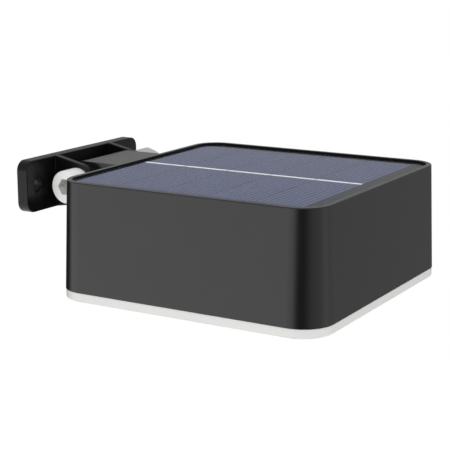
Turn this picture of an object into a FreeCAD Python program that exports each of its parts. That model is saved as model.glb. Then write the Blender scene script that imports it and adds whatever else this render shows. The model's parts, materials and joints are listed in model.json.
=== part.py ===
import FreeCAD
import Part
import math
import os

# Fence light: a square solar lamp that tilts between the cheeks of a wall bracket.
# Frame, in millimetres: X runs along the wall, +Y points into the wall, +Z is up.
# The origin lies on the wall plane, midway along the plate and level with the tilt axis.
# At rest the lamp's top is level.

Vector = FreeCAD.Vector

# ---------------------------------------------------------------- driving dimensions

# Wall bracket
plate_width = 74.8
plate_height = 20.5
plate_thickness = 5.0
plate_corner_radius = 4.0
plate_rise = 0.3                 # the plate's middle and its holes stand this far above the tilt axis
wall_hole_spacing = 62.0
wall_hole_diameter = 5.0
axis_from_wall = 15.7
cheek_thickness = 2.8
cheek_end_radius = 8.1

# Tilt joint
tail_width = 30.4
tail_radius = 8.5                # the tail's top is tangent to this radius about the axis
side_gap = 1.5                   # between the tail and each cheek
thrust_clearance = 0.05
bolt_diameter = 8.0
bolt_head_diameter = 13.0
bolt_head_height = 8.0
bolt_socket_flats = 6.0
bolt_socket_depth = 4.0
bolt_edge_chamfer = 0.3
bolt_end_recess = 1.5            # the bolt stops this far inside the nut's outer face
nut_flats = 13.0
nut_height = 12.0
nut_turn = 8.0                   # degrees past corner up, where the nut came to rest
nut_washer_diameter = 14.0
nut_washer_thickness = 1.0
thrust_washer_diameter = 15.4
bush_wall = 1.5
running_clearance = 0.05
cheek_hole_clearance = 0.2
thread_clearance = 0.02

# Lamp housing
body_top_width = 107.0
body_bottom_width = 110.0
body_height = 41.0
body_corner_radius = 10.4        # at the rim, wider below with the draft
axis_to_body = 15.7
housing_wall = 2.5
rim_width = 1.95
rim_edge_round = 0.35
deck_thickness = 2.0

# Solar panel
panel_recess = 0.8               # the cover lies this far below the rim
panel_edge_clearance = 0.1
cover_thickness = 0.9
panel_board_thickness = 1.6
adhesive_thickness = 0.5
adhesive_width = 6.0
adhesive_inner_radius = 2.5
cell_count = 5
cell_gap = 0.5
cell_thickness = 0.25
cell_end_margin = 5.15           # from the strips' ends to the recess wall
cell_front_margin = 6.85         # the front margin is wider than the rear one
cell_rear_margin = 2.0
ribbon_width = 1.7
ribbon_thickness = 0.15

# Leads and their grommet
lead_diameter = 1.1
lead_spacing = 2.4
lead_bend_radius = 1.3
grommet_diameter = 6.0
grommet_flange = 1.2
grommet_flange_thickness = 0.8
grommet_cradle_clearance = 0.55

# Battery bay
cell_can_diameter = 18.3
cell_can_length = 65.0
cell_tip_diameter = 6.0
cell_tip_height = 1.2
cradle_clearance = 0.1
cradle_wall = 1.5
cradle_grip_below_middle = 2.0
cradle_end_below_middle = 6.0
cradle_ear_length = 8.0
cradle_ear_width = 10.0
cradle_ear_thickness = 2.0
cradle_ear_drop = 4.0            # from the deck to the ears
cradle_post_diameter = 6.0
cradle_post_clearance = 2.25     # to the tray posts behind it
contact_thickness = 0.4
contact_size = 10.0

# Control board
control_length = 60.0
control_width = 32.0
control_board_thickness = 1.6
control_post_clearance = 0.5     # to the tray posts in front of it
control_drop = 6.0               # from the deck to the board
control_post_inset = 4.0
control_post_diameter = 5.0
capacitor_diameter = 8.0
capacitor_height = 11.5
coil_diameter = 9.0
coil_waist_diameter = 6.0
coil_height = 5.0
coil_flange = 1.0
chip_length = 6.0
chip_width = 4.0
chip_height = 1.5
chip_spacing = 9.0

# Light tray and light board
tray_boss_clearance = 0.75
tray_corner_radius = 6.0
tray_drop = 22.25                # from the deck to the tray
tray_wall = 1.5
tray_skirt_clearance = 0.9       # above the diffuser
tray_post_inset = 7.0            # from the tray's sides
tray_post_diameter = 6.0
light_board_clearance = 1.5      # from the board to the tray's skirt
light_board_thickness = 1.6
light_board_corner_radius = 3.0
light_rows = 6
light_inset = 10.0               # from the board's sides to the outer lights
light_length = 3.5
light_width = 2.8
light_height = 0.8

# Diffuser
diffuser_thickness = 3.5
diffuser_inset = 0.15
diffuser_edge_round = 0.6
gasket_lip = 1.3                 # the housing wall left outside the gasket
gasket_height = 1.5
locating_rib_clearance = 0.3
locating_rib_length = 60.0
locating_rib_thickness = 1.5
locating_rib_height = 2.5
boss_diameter = 7.5
boss_from_wall = 3.2             # from its middle to the wall's inside at the corner, so the two join
boss_screw_diameter = 3.0
boss_screw_bite = 8.5
boss_screw_head_diameter = 5.6
boss_recess_width = 2.8
boss_recess_depth = 1.0
boss_screw_sink = 0.1

# Small inner screws
small_screw_diameter = 2.5
small_screw_bite = 4.0           # how far it goes into its post
small_screw_head_diameter = 4.6
small_screw_head_height = 1.6
small_recess_width = 2.8
small_recess_depth = 0.8
screw_hole_clearance = 0.2
pilot_extra_depth = 0.5

# On/off push switch
switch_width = 8.0
switch_height = 5.8
switch_hole_spare = 0.5          # left above the stem when the button is in
button_diameter = 8.0
button_travel = 1.2
button_proud = 1.0
button_stem_diameter = 3.1
button_stem_engagement = 1.8
button_flange_diameter = 10.0
button_flange_thickness = 1.0
button_stop_gap = 0.3
button_edge_round = 0.4
collar_diameter = 13.0
collar_flange_diameter = 17.0
collar_flange_thickness = 1.2
collar_flange_round = 0.4
collar_shelf = 3.2               # up the bore, to where the button's flange stops
collar_inner_clearance = 0.4
collar_seal_thickness = 0.5
collar_nut_flats = 17.0
collar_nut_height = 2.0
collar_nut_clearance = 0.05
spring_wire_diameter = 0.4
spring_mean_diameter = 5.2
spring_turns = 4.0
spring_sections_per_turn = 12
spring_wire_sides = 8
spring_end_gap = 0.05

# ---------------------------------------------------------------- derived places

cheek_inner = tail_width / 2 + side_gap
cheek_outer = cheek_inner + cheek_thickness
axis_y = -axis_from_wall
bolt_radius = bolt_diameter / 2
bush_radius = bolt_radius + running_clearance + bush_wall
nut_start = cheek_outer + nut_washer_thickness
nut_end = nut_start + nut_height

rim_top = tail_radius
body_bottom = rim_top - body_height
body_rear = axis_y - axis_to_body
lamp_y = body_rear - body_top_width / 2
bottom_half = body_bottom_width / 2
bottom_radius = body_corner_radius + bottom_half - body_top_width / 2
draft_per_mm = (body_bottom_width - body_top_width) / 2 / body_height

cover_top = rim_top - panel_recess
cells_base = cover_top - cover_thickness
panel_underside = cells_base - panel_board_thickness
deck_top = panel_underside - adhesive_thickness
deck_bottom = deck_top - deck_thickness
panel_half = body_top_width / 2 - rim_width
panel_radius = body_corner_radius - rim_width
cell_length = 2 * (panel_half - cell_end_margin)
cell_pitch = (2 * panel_half - cell_front_margin - cell_rear_margin + cell_gap) / cell_count

diffuser_top = body_bottom
diffuser_bottom = diffuser_top - diffuser_thickness
tray_top = deck_bottom - tray_drop
light_board_top = tray_top - tray_wall
light_board_bottom = light_board_top - light_board_thickness
boss_diagonal = bottom_radius - housing_wall - boss_from_wall
boss_reach = bottom_half - bottom_radius + boss_diagonal / math.sqrt(2)
tray_half = boss_reach - boss_diameter / 2 - tray_boss_clearance
tray_post_reach = tray_half - tray_post_inset
light_board_half = tray_half - tray_wall - light_board_clearance
light_reach = light_board_half - light_inset
control_top = deck_bottom - control_drop
control_bottom = control_top - control_board_thickness
control_y = lamp_y - tray_post_reach + tray_post_diameter / 2 + control_post_clearance + control_width / 2
can_radius = cell_can_diameter / 2
cradle_half_width = can_radius + cradle_clearance + cradle_wall
battery_y = lamp_y + tray_post_reach - tray_post_diameter / 2 - cradle_post_clearance - cradle_half_width
battery_z = deck_bottom - cradle_wall - cradle_clearance - can_radius
contact_x = cell_can_length / 2 + contact_thickness / 2
cradle_half_length = cell_can_length / 2 + contact_thickness + cradle_wall
battery_lead_x = contact_x + contact_thickness / 2 + lead_diameter / 2
battery_lead_z = control_bottom - 2 * lead_bend_radius
ear_top = deck_bottom - cradle_ear_drop
grommet_y = battery_y - cradle_half_width - grommet_cradle_clearance - grommet_flange - grommet_diameter / 2

switch_bottom = light_board_bottom - switch_height
switch_hole_depth = button_stem_engagement + button_travel + switch_hole_spare
collar_flange_top = diffuser_bottom - collar_seal_thickness
collar_bottom = collar_flange_top - collar_flange_thickness
button_bottom = collar_bottom - button_proud
collar_shelf_z = collar_bottom + collar_shelf
collar_top = diffuser_top + collar_nut_height
button_flange_bottom = collar_shelf_z + button_stop_gap
button_flange_top = button_flange_bottom + button_flange_thickness


# ---------------------------------------------------------------- shared shapes

def block(x_low, x_high, y_low, y_high, z_low, z_high):
    """Box between two corners."""
    return Part.makeBox(x_high - x_low, y_high - y_low, z_high - z_low, Vector(x_low, y_low, z_low))


def rod_x(radius, x_low, x_high, y, z):
    """Round bar along X."""
    return Part.makeCylinder(radius, x_high - x_low, Vector(x_low, y, z), Vector(1, 0, 0))


def rod_z(radius, x, y, z_low, z_high):
    """Round bar along Z."""
    return Part.makeCylinder(radius, z_high - z_low, Vector(x, y, z_low), Vector(0, 0, 1))


def rounded_outline(half, radius, z):
    """Closed square outline with round corners, about the lamp's middle."""
    straight = half - radius
    edges = []
    for quarter in range(4):
        start = math.radians(90 * quarter)
        corner_x = straight * math.sqrt(2) * math.cos(start + math.pi / 4)
        corner_y = lamp_y + straight * math.sqrt(2) * math.sin(start + math.pi / 4)
        arc_points = []
        for part in (0, 0.5, 1):
            angle = start + part * math.pi / 2
            arc_x = corner_x + radius * math.cos(angle)
            arc_y = corner_y + radius * math.sin(angle)
            arc_points.append(Vector(arc_x, arc_y, z))
        if edges:
            edges.append(Part.LineSegment(last_point, arc_points[0]).toShape())
        else:
            first_point = arc_points[0]
        edges.append(Part.Arc(*arc_points).toShape())
        last_point = arc_points[2]
    edges.append(Part.LineSegment(last_point, first_point).toShape())
    return Part.Wire(edges)


def rounded_slab(half, radius, z_low, z_high):
    """Upright square slab with round corners."""
    face = Part.Face(rounded_outline(half, radius, z_low))
    return face.extrude(Vector(0, 0, z_high - z_low))


def drafted_outline(inset, z):
    """The housing's outline at a height, drawn in by an inset."""
    widening = draft_per_mm * (rim_top - z) - inset
    return rounded_outline(body_top_width / 2 + widening, body_corner_radius + widening, z)


def drafted_slab(inset, z_low, z_high):
    """A slab that follows the housing's draft."""
    return Part.makeLoft([drafted_outline(inset, z_low), drafted_outline(inset, z_high)], True, True)


def hexagon_bar(flats, turn_degrees, x_low, x_high, y, z):
    """Hexagonal bar along X; with no turn, its corners point along Y."""
    corner_radius = flats / 2 / math.cos(math.pi / 6)
    points = []
    for corner in range(7):
        angle = math.radians(60 * corner + turn_degrees)
        points.append(Vector(x_low, y + corner_radius * math.cos(angle), z + corner_radius * math.sin(angle)))
    return Part.Face(Part.makePolygon(points)).extrude(Vector(x_high - x_low, 0, 0))


def cross_recess(x, y, z_low, width, depth):
    """The crossed slots in a screw's head, cut upward from its lowest face."""
    slot = width / 4
    along_x = block(x - width / 2, x + width / 2, y - slot / 2, y + slot / 2, z_low, z_low + depth)
    along_y = block(x - slot / 2, x + slot / 2, y - width / 2, y + width / 2, z_low, z_low + depth)
    return along_x.fuse(along_y)


def small_screw(x, y, seat_z, length):
    """Pan-head screw driven upward, its head below the seat."""
    head_bottom = seat_z - small_screw_head_height
    head = rod_z(small_screw_head_diameter / 2, x, y, head_bottom, seat_z)
    shank = rod_z(small_screw_diameter / 2, x, y, seat_z, seat_z + length)
    recess = cross_recess(x, y, head_bottom, small_recess_width, small_recess_depth)
    return head.fuse(shank).cut(recess).removeSplitter()


def lead(points):
    """Insulated lead: straight runs joined by tangent arcs."""
    edges = []
    run_start = points[0]
    for before, corner, after in zip(points, points[1:], points[2:]):
        incoming = (corner - before).normalize()
        outgoing = (after - corner).normalize()
        turn = incoming.getAngle(outgoing)
        setback = lead_bend_radius * math.tan(turn / 2)
        bend_start = corner - incoming * setback
        bend_end = corner + outgoing * setback
        inward = (outgoing - incoming).normalize()
        bend_middle = corner + inward * (lead_bend_radius / math.cos(turn / 2) - lead_bend_radius)
        edges.append(Part.LineSegment(run_start, bend_start).toShape())
        edges.append(Part.Arc(bend_start, bend_middle, bend_end).toShape())
        run_start = bend_end
    edges.append(Part.LineSegment(run_start, points[-1]).toShape())
    path = Part.Wire(edges)
    direction = (points[1] - points[0]).normalize()
    section = Part.Wire(Part.makeCircle(lead_diameter / 2, points[0], direction))
    return path.makePipeShell([section], True, False)


def corners(half_x, half_y):
    """The four sign combinations of a rectangle's corners."""
    return [(x, y) for x in (-half_x, half_x) for y in (-half_y, half_y)]


# ---------------------------------------------------------------- bracket and tilt joint

def tangent_point(outside_y, outside_z, side):
    """Where a line from a point on the plate touches the cheek's round end."""
    reach_y = outside_y - axis_y
    distance = math.hypot(reach_y, outside_z)
    angle = math.atan2(outside_z, reach_y) + side * math.acos(cheek_end_radius / distance)
    return axis_y + cheek_end_radius * math.cos(angle), cheek_end_radius * math.sin(angle)


def cheek(x_low):
    """One cheek: as high as the plate at its root, narrowing to a round end about the axis."""
    root_y = -plate_thickness
    top_z = plate_rise + plate_height / 2
    bottom_z = plate_rise - plate_height / 2
    top_tangent = Vector(x_low, *tangent_point(root_y, top_z, 1))
    bottom_tangent = Vector(x_low, *tangent_point(root_y, bottom_z, -1))
    nose = Vector(x_low, axis_y - cheek_end_radius, 0)
    root_top = Vector(x_low, root_y, top_z)
    root_bottom = Vector(x_low, root_y, bottom_z)
    edges = [
        Part.LineSegment(root_top, top_tangent).toShape(),
        Part.Arc(top_tangent, nose, bottom_tangent).toShape(),
        Part.LineSegment(bottom_tangent, root_bottom).toShape(),
        Part.LineSegment(root_bottom, root_top).toShape(),
    ]
    return Part.Face(Part.Wire(edges)).extrude(Vector(cheek_thickness, 0, 0))


def wall_plate():
    """The plate against the wall, with its two screw holes."""
    half_width = plate_width / 2
    low_z = plate_rise - plate_height / 2
    plate = block(-half_width, half_width, -plate_thickness, 0, low_z, low_z + plate_height)
    corner_edges = [edge for edge in plate.Edges if abs(edge.tangentAt(0).y) > 0.9]
    plate = plate.makeFillet(plate_corner_radius, corner_edges)
    for side in (-1, 1):
        start = Vector(side * wall_hole_spacing / 2, -plate_thickness, plate_rise)
        plate = plate.cut(Part.makeCylinder(wall_hole_diameter / 2, plate_thickness, start, Vector(0, 1, 0)))
    return plate


def wall_bracket():
    """Plate and cheeks in one casting, with the bolt's holes."""
    solid = wall_plate().fuse([cheek(-cheek_outer), cheek(cheek_inner)])
    hole = rod_x(bolt_radius + cheek_hole_clearance, -cheek_outer, cheek_outer, axis_y, 0)
    return solid.cut(hole).removeSplitter()


def tilt_bolt():
    """Socket-head bolt through both cheeks and the tail."""
    head_end = -cheek_outer - bolt_head_height
    head = rod_x(bolt_head_diameter / 2, head_end, -cheek_outer, axis_y, 0)
    head = head.makeChamfer(bolt_edge_chamfer, [head.Edges[edge_at_x(head, head_end)]])
    shank = rod_x(bolt_radius, -cheek_outer, nut_end - bolt_end_recess, axis_y, 0)
    shank = shank.makeChamfer(bolt_edge_chamfer, [shank.Edges[edge_at_x(shank, nut_end - bolt_end_recess)]])
    socket = hexagon_bar(bolt_socket_flats, 0, head_end, head_end + bolt_socket_depth, axis_y, 0)
    return head.fuse(shank).cut(socket).removeSplitter()


def edge_at_x(shape, x):
    """Index of the circular edge that lies in the plane at x."""
    for index, edge in enumerate(shape.Edges):
        if edge.BoundBox.XLength < 0.001 and abs(edge.BoundBox.XMin - x) < 0.001:
            return index
    raise ValueError("no edge at this place")


def tilt_nut():
    """Tall hexagon nut with chamfered corners."""
    corner_up = 90.0
    nut = hexagon_bar(nut_flats, corner_up - nut_turn, nut_start, nut_end, axis_y, 0)
    corner_radius = nut_flats / 2 / math.cos(math.pi / 6)
    corner_excess = corner_radius - nut_flats / 2
    envelope_end = nut_end - corner_excess
    envelope = rod_x(corner_radius, nut_start, envelope_end, axis_y, 0)
    taper = Part.makeCone(corner_radius, nut_flats / 2, corner_excess,
                          Vector(envelope_end, axis_y, 0), Vector(1, 0, 0))
    nut = nut.common(envelope.fuse(taper))
    return nut.cut(rod_x(bolt_radius + thread_clearance, nut_start, nut_end, axis_y, 0)).removeSplitter()


def ring_x(outer_radius, inner_radius, x_low, x_high):
    """Ring about the tilt axis."""
    outer = rod_x(outer_radius, x_low, x_high, axis_y, 0)
    return outer.cut(rod_x(inner_radius, x_low, x_high, axis_y, 0))


def nut_washer():
    """Flat washer between the far cheek and the nut."""
    return ring_x(nut_washer_diameter / 2, bolt_radius + cheek_hole_clearance, cheek_outer, nut_start)


def friction_washers():
    """One thrust washer on each side of the tail."""
    inner_radius = bolt_radius + cheek_hole_clearance
    near_tail = tail_width / 2 + thrust_clearance
    left = ring_x(thrust_washer_diameter / 2, inner_radius, -cheek_inner, -near_tail)
    right = ring_x(thrust_washer_diameter / 2, inner_radius, near_tail, cheek_inner)
    return Part.makeCompound([left, right])


def tilt_bushing():
    """Bush pressed into the tail; it turns on the bolt."""
    return ring_x(bush_radius, bolt_radius + running_clearance, -tail_width / 2, tail_width / 2)


# ---------------------------------------------------------------- housing

def tail():
    """Flat-topped block with a round end about the axis, rooted in the rear wall."""
    half = tail_width / 2
    root_y = body_rear - housing_wall / 2
    bar = block(-half, half, root_y, axis_y, -tail_radius, tail_radius)
    return bar.fuse(rod_x(tail_radius, -half, half, axis_y, 0))


def boss_places():
    """Middles of the four bosses that take the diffuser's screws."""
    return [(x, lamp_y + y) for x, y in corners(boss_reach, boss_reach)]


def tray_post_places():
    """Middles of the four posts that carry the light tray."""
    return [(x, lamp_y + y) for x, y in corners(tray_post_reach, tray_post_reach)]


def control_post_places():
    """Middles of the four posts that carry the control board."""
    reach_x = control_length / 2 - control_post_inset
    reach_y = control_width / 2 - control_post_inset
    return [(x, control_y + y) for x, y in corners(reach_x, reach_y)]


def cradle_screw_places():
    """Middles of the two cradle ears."""
    reach = cradle_half_length + cradle_ear_length / 2
    return [(-reach, battery_y), (reach, battery_y)]


def carried_post(places, diameter, z_low, screw_diameter, screw_bite):
    """Posts that hang from the deck, and the pilot holes in their lower ends."""
    deck_middle = deck_bottom + deck_thickness / 2
    hole_radius = screw_diameter / 2 + thread_clearance
    hole_top = z_low + screw_bite + pilot_extra_depth
    posts = [rod_z(diameter / 2, x, y, z_low, deck_middle) for x, y in places]
    holes = [rod_z(hole_radius, x, y, z_low, hole_top) for x, y in places]
    return posts, holes


def housing():
    """Drafted square shell: rim and recess above, cavity below, tail behind."""
    outer = drafted_slab(0, body_bottom, rim_top)
    top_edges = [edge for edge in outer.Edges if edge.BoundBox.ZMin > rim_top - 0.001]
    outer = outer.makeFillet(rim_edge_round, top_edges)
    solid = outer.fuse(tail())
    solid = solid.cut(rounded_slab(panel_half, panel_radius, deck_top, rim_top))
    solid = solid.cut(drafted_slab(housing_wall, body_bottom, deck_bottom))
    groups = [
        carried_post(boss_places(), boss_diameter, body_bottom, boss_screw_diameter, boss_screw_bite),
        carried_post(tray_post_places(), tray_post_diameter, tray_top,
                     small_screw_diameter, small_screw_bite),
        carried_post(control_post_places(), control_post_diameter, control_top,
                     small_screw_diameter, small_screw_bite),
        carried_post(cradle_screw_places(), cradle_post_diameter, ear_top,
                     small_screw_diameter, small_screw_bite),
    ]
    posts = [post for group in groups for post in group[0]]
    holes = [hole for group in groups for hole in group[1]]
    solid = solid.fuse(posts)
    solid = solid.cut(holes)
    solid = solid.cut(gasket_space())
    solid = solid.cut(rod_z(grommet_diameter / 2, 0, grommet_y, deck_bottom, deck_top))
    solid = solid.cut(rod_x(bush_radius, -tail_width / 2, tail_width / 2, axis_y, 0))
    return solid.removeSplitter()


def gasket_space():
    """Square ring inside the housing's lower lip, which the gasket fills."""
    z_high = body_bottom + gasket_height
    outer = rounded_slab(bottom_half - gasket_lip, bottom_radius - gasket_lip, body_bottom, z_high)
    inner = rounded_slab(bottom_half - housing_wall, bottom_radius - housing_wall, body_bottom, z_high)
    return outer.cut(inner)


# ---------------------------------------------------------------- solar panel

def panel_slab(z_low, z_high):
    """A layer of the panel, a little smaller than its recess."""
    return rounded_slab(panel_half - panel_edge_clearance, panel_radius - panel_edge_clearance, z_low, z_high)


def cell_middles():
    """Each strip's middle, from front to rear."""
    first = lamp_y - panel_half + cell_front_margin + (cell_pitch - cell_gap) / 2
    return [first + cell_pitch * index for index in range(cell_count)]


def strip(y, length, width, z_low, z_high):
    """Flat strip across the panel's middle."""
    return block(-length / 2, length / 2, y - width / 2, y + width / 2, z_low, z_high)


def cell_strips():
    """The strips, side by side with narrow gaps."""
    top = cells_base + cell_thickness
    return [strip(y, cell_length, cell_pitch - cell_gap, cells_base, top) for y in cell_middles()]


def ribbon_strips():
    """A bright ribbon along the middle of each strip."""
    low = cells_base + cell_thickness
    high = low + ribbon_thickness
    return [strip(y, ribbon_width, cell_pitch - cell_gap, low, high) for y in cell_middles()]


def solar_cells():
    return Part.makeCompound(cell_strips())


def cell_ribbons():
    return Part.makeCompound(ribbon_strips())


def panel_cover():
    """Clear layer cast over the strips and ribbons."""
    slab = panel_slab(cells_base, cover_top)
    return slab.cut(cell_strips() + ribbon_strips()).removeSplitter()


def panel_board():
    """Substrate under the strips."""
    return panel_slab(panel_underside, cells_base)


def panel_adhesive():
    """Bead round the deck's edge that holds and seals the panel."""
    outer = panel_slab(deck_top, panel_underside)
    hole_half = panel_half - panel_edge_clearance - adhesive_width
    return outer.cut(rounded_slab(hole_half, adhesive_inner_radius, deck_top, panel_underside))


# ---------------------------------------------------------------- battery bay

def lead_grommet():
    """Soft grommet in the deck, with a bore for each panel lead."""
    body = rod_z(grommet_diameter / 2, 0, grommet_y, deck_bottom, deck_top)
    flange_low = deck_bottom - grommet_flange_thickness
    flange = rod_z(grommet_diameter / 2 + grommet_flange, 0, grommet_y, flange_low, deck_bottom)
    bores = []
    for side in (-1, 1):
        x = side * lead_spacing / 2
        bores.append(rod_z(lead_diameter / 2 + thread_clearance, x, grommet_y, flange_low, deck_top))
    return body.fuse(flange).cut(bores).removeSplitter()


def panel_leads():
    """Two leads from the panel's underside, through the grommet, to the control board."""
    level = control_top + 2 * lead_bend_radius
    landing_y = control_y + control_width / 2 - control_post_inset
    leads = []
    for side in (-1, 1):
        x = side * lead_spacing / 2
        leads.append(lead([
            Vector(x, grommet_y, panel_underside),
            Vector(x, grommet_y, level),
            Vector(x, landing_y, level),
            Vector(x, landing_y, control_top),
        ]))
    return Part.makeCompound(leads)


def battery_cell():
    """Round rechargeable cell, its tip toward +X."""
    shoulder = cell_can_length / 2 - cell_tip_height
    can = rod_x(can_radius, -cell_can_length / 2, shoulder, battery_y, battery_z)
    tip = rod_x(cell_tip_diameter / 2, shoulder, cell_can_length / 2, battery_y, battery_z)
    return can.fuse(tip).removeSplitter()


def battery_cradle():
    """Snap-in cradle: roof, gripping sides, end walls and two ears."""
    room = can_radius + cradle_clearance
    inner = cradle_half_length - cradle_wall
    grip_low = battery_z - cradle_grip_below_middle
    end_low = battery_z - cradle_end_below_middle
    left, right = -cradle_half_length, cradle_half_length
    front, rear = battery_y - cradle_half_width, battery_y + cradle_half_width
    solid = block(left, right, front, rear, grip_low, deck_bottom)
    for x_low in (left, inner):
        solid = solid.fuse(block(x_low, x_low + cradle_wall, front, rear, end_low, deck_bottom))
    solid = solid.cut(rod_x(room, -inner, inner, battery_y, battery_z))
    solid = solid.cut(block(-inner, inner, battery_y - room, battery_y + room, grip_low, battery_z))
    ear_low = ear_top - cradle_ear_thickness
    for x, y in cradle_screw_places():
        half_ear = cradle_ear_length / 2
        ear = block(x - half_ear, x + half_ear, y - cradle_ear_width / 2, y + cradle_ear_width / 2,
                    ear_low, ear_top)
        hole = rod_z(small_screw_diameter / 2 + screw_hole_clearance, x, y, ear_low, ear_top)
        solid = solid.fuse(ear).cut(hole)
    notch_half = lead_diameter / 2 + cradle_clearance
    for side in (-1, 1):
        middle = side * battery_lead_x
        notch = block(middle - notch_half, middle + notch_half, front, battery_y,
                      battery_lead_z - notch_half, battery_lead_z + notch_half)
        solid = solid.cut(notch)
    return solid.removeSplitter()


def battery_contacts():
    """Contact plates at both ends of the cell."""
    half = contact_size / 2
    plates = []
    for side in (-1, 1):
        middle = side * contact_x
        plates.append(block(middle - contact_thickness / 2, middle + contact_thickness / 2,
                            battery_y - half, battery_y + half, battery_z - half, battery_z + half))
    return Part.makeCompound(plates)


def battery_leads():
    """A lead from each contact to the control board's underside."""
    landing_x = control_length / 2 - control_post_inset / 2
    landing_y = control_y + control_width / 2 - 3 * control_post_inset
    leads = []
    for side in (-1, 1):
        leads.append(lead([
            Vector(side * battery_lead_x, battery_y - contact_size / 4, battery_lead_z),
            Vector(side * battery_lead_x, landing_y, battery_lead_z),
            Vector(side * landing_x, landing_y, battery_lead_z),
            Vector(side * landing_x, landing_y, control_bottom),
        ]))
    return Part.makeCompound(leads)


def cradle_screws():
    """Two screws up through the cradle's ears."""
    seat = ear_top - cradle_ear_thickness
    length = cradle_ear_thickness + small_screw_bite
    return Part.makeCompound([small_screw(x, y, seat, length) for x, y in cradle_screw_places()])


# ---------------------------------------------------------------- control board

def control_board():
    """Board that charges the cell by day and lights the lamp at dusk."""
    board = block(-control_length / 2, control_length / 2, control_y - control_width / 2,
                  control_y + control_width / 2, control_bottom, control_top)
    for x, y in control_post_places():
        hole = rod_z(small_screw_diameter / 2 + screw_hole_clearance, x, y, control_bottom, control_top)
        board = board.cut(hole)
    return board


def charge_chips():
    """Three chips under the control board."""
    chips = []
    for index in (-1, 0, 1):
        x = index * chip_spacing
        chips.append(block(x - chip_length / 2, x + chip_length / 2, control_y - chip_width / 2,
                           control_y + chip_width / 2, control_bottom - chip_height, control_bottom))
    return Part.makeCompound(chips)


def storage_capacitor():
    """Round capacitor that hangs under the board."""
    x = -chip_spacing - chip_length / 2 - capacitor_diameter
    return rod_z(capacitor_diameter / 2, x, control_y, control_bottom - capacitor_height, control_bottom)


def choke_coil():
    """Coil on a flanged core."""
    x = chip_spacing + chip_length / 2 + coil_diameter
    core = rod_z(coil_waist_diameter / 2, x, control_y, control_bottom - coil_height, control_bottom)
    upper = rod_z(coil_diameter / 2, x, control_y, control_bottom - coil_flange, control_bottom)
    lower_z = control_bottom - coil_height
    lower = rod_z(coil_diameter / 2, x, control_y, lower_z, lower_z + coil_flange)
    return core.fuse([upper, lower]).removeSplitter()


def board_screws():
    """Four screws up through the control board."""
    length = control_board_thickness + small_screw_bite
    screws = [small_screw(x, y, control_bottom, length) for x, y in control_post_places()]
    return Part.makeCompound(screws)


def led_lead_y():
    """Where the light board's leads pass the tray."""
    return control_y - control_width / 2 - control_post_inset


def led_leads():
    """Two leads from the control board down to the light board."""
    start_y = control_y - control_width / 2 + control_post_inset
    turn_z = (control_bottom + tray_top) / 2
    leads = []
    for side in (-1, 1):
        x = side * lead_spacing / 2
        leads.append(lead([
            Vector(x, start_y, control_bottom),
            Vector(x, start_y, turn_z),
            Vector(x, led_lead_y(), turn_z),
            Vector(x, led_lead_y(), light_board_top),
        ]))
    return Part.makeCompound(leads)


# ---------------------------------------------------------------- light tray and light board

def light_tray():
    """White tray: its floor carries the light board and its skirt reflects the light down."""
    skirt_low = diffuser_top + tray_skirt_clearance
    tray = rounded_slab(tray_half, tray_corner_radius, skirt_low, tray_top)
    inner_radius = tray_corner_radius - tray_wall
    tray = tray.cut(rounded_slab(tray_half - tray_wall, inner_radius, skirt_low, light_board_top))
    for x, y in tray_post_places():
        hole = rod_z(small_screw_diameter / 2 + screw_hole_clearance, x, y, light_board_top, tray_top)
        tray = tray.cut(hole)
    slot_half = lead_spacing / 2 + lead_diameter
    slot = block(-slot_half, slot_half, led_lead_y() - lead_diameter, led_lead_y() + lead_diameter,
                 light_board_top, tray_top)
    return tray.cut(slot)


def led_board():
    """White board under the tray's floor."""
    board = rounded_slab(light_board_half, light_board_corner_radius, light_board_bottom, light_board_top)
    hole_radius = small_screw_diameter / 2 + screw_hole_clearance
    for x, y in tray_post_places():
        hole = rod_z(hole_radius, x, y, light_board_bottom, light_board_top)
        board = board.cut(hole)
    return board


def light_places():
    """A square grid that leaves out the middle, where the switch is."""
    steps = [2 * light_reach * index / (light_rows - 1) - light_reach for index in range(light_rows)]
    places = [(x, y) for x in steps for y in steps if max(abs(x), abs(y)) > switch_width]
    return [(x, lamp_y + y) for x, y in places]


def led_chips():
    """Light-emitting chips on the board's underside."""
    chips = []
    for x, y in light_places():
        chips.append(block(x - light_length / 2, x + light_length / 2, y - light_width / 2,
                           y + light_width / 2, light_board_bottom - light_height, light_board_bottom))
    return Part.makeCompound(chips)


def tray_screws():
    """Four screws up through the light board and the tray into the posts."""
    length = light_board_thickness + tray_wall + small_screw_bite
    screws = [small_screw(x, y, light_board_bottom, length) for x, y in tray_post_places()]
    return Part.makeCompound(screws)


# ---------------------------------------------------------------- push switch

def switch_body():
    """Latching switch on the light board, with a hole for the button's stem."""
    half = switch_width / 2
    body = block(-half, half, lamp_y - half, lamp_y + half, switch_bottom, light_board_bottom)
    hole_radius = button_stem_diameter / 2 + running_clearance
    return body.cut(rod_z(hole_radius, 0, lamp_y, switch_bottom, switch_bottom + switch_hole_depth))


def push_button():
    """Button with a flange that keeps it in the collar and a stem that works the switch."""
    cap = rod_z(button_diameter / 2, 0, lamp_y, button_bottom, button_flange_bottom)
    lower_edge = [edge for edge in cap.Edges if edge.BoundBox.ZMax < button_bottom + 0.001]
    cap = cap.makeFillet(button_edge_round, lower_edge)
    flange = rod_z(button_flange_diameter / 2, 0, lamp_y, button_flange_bottom, button_flange_top)
    stem_top = switch_bottom + button_stem_engagement
    stem = rod_z(button_stem_diameter / 2, 0, lamp_y, button_flange_top, stem_top)
    return cap.fuse([flange, stem]).removeSplitter()


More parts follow.
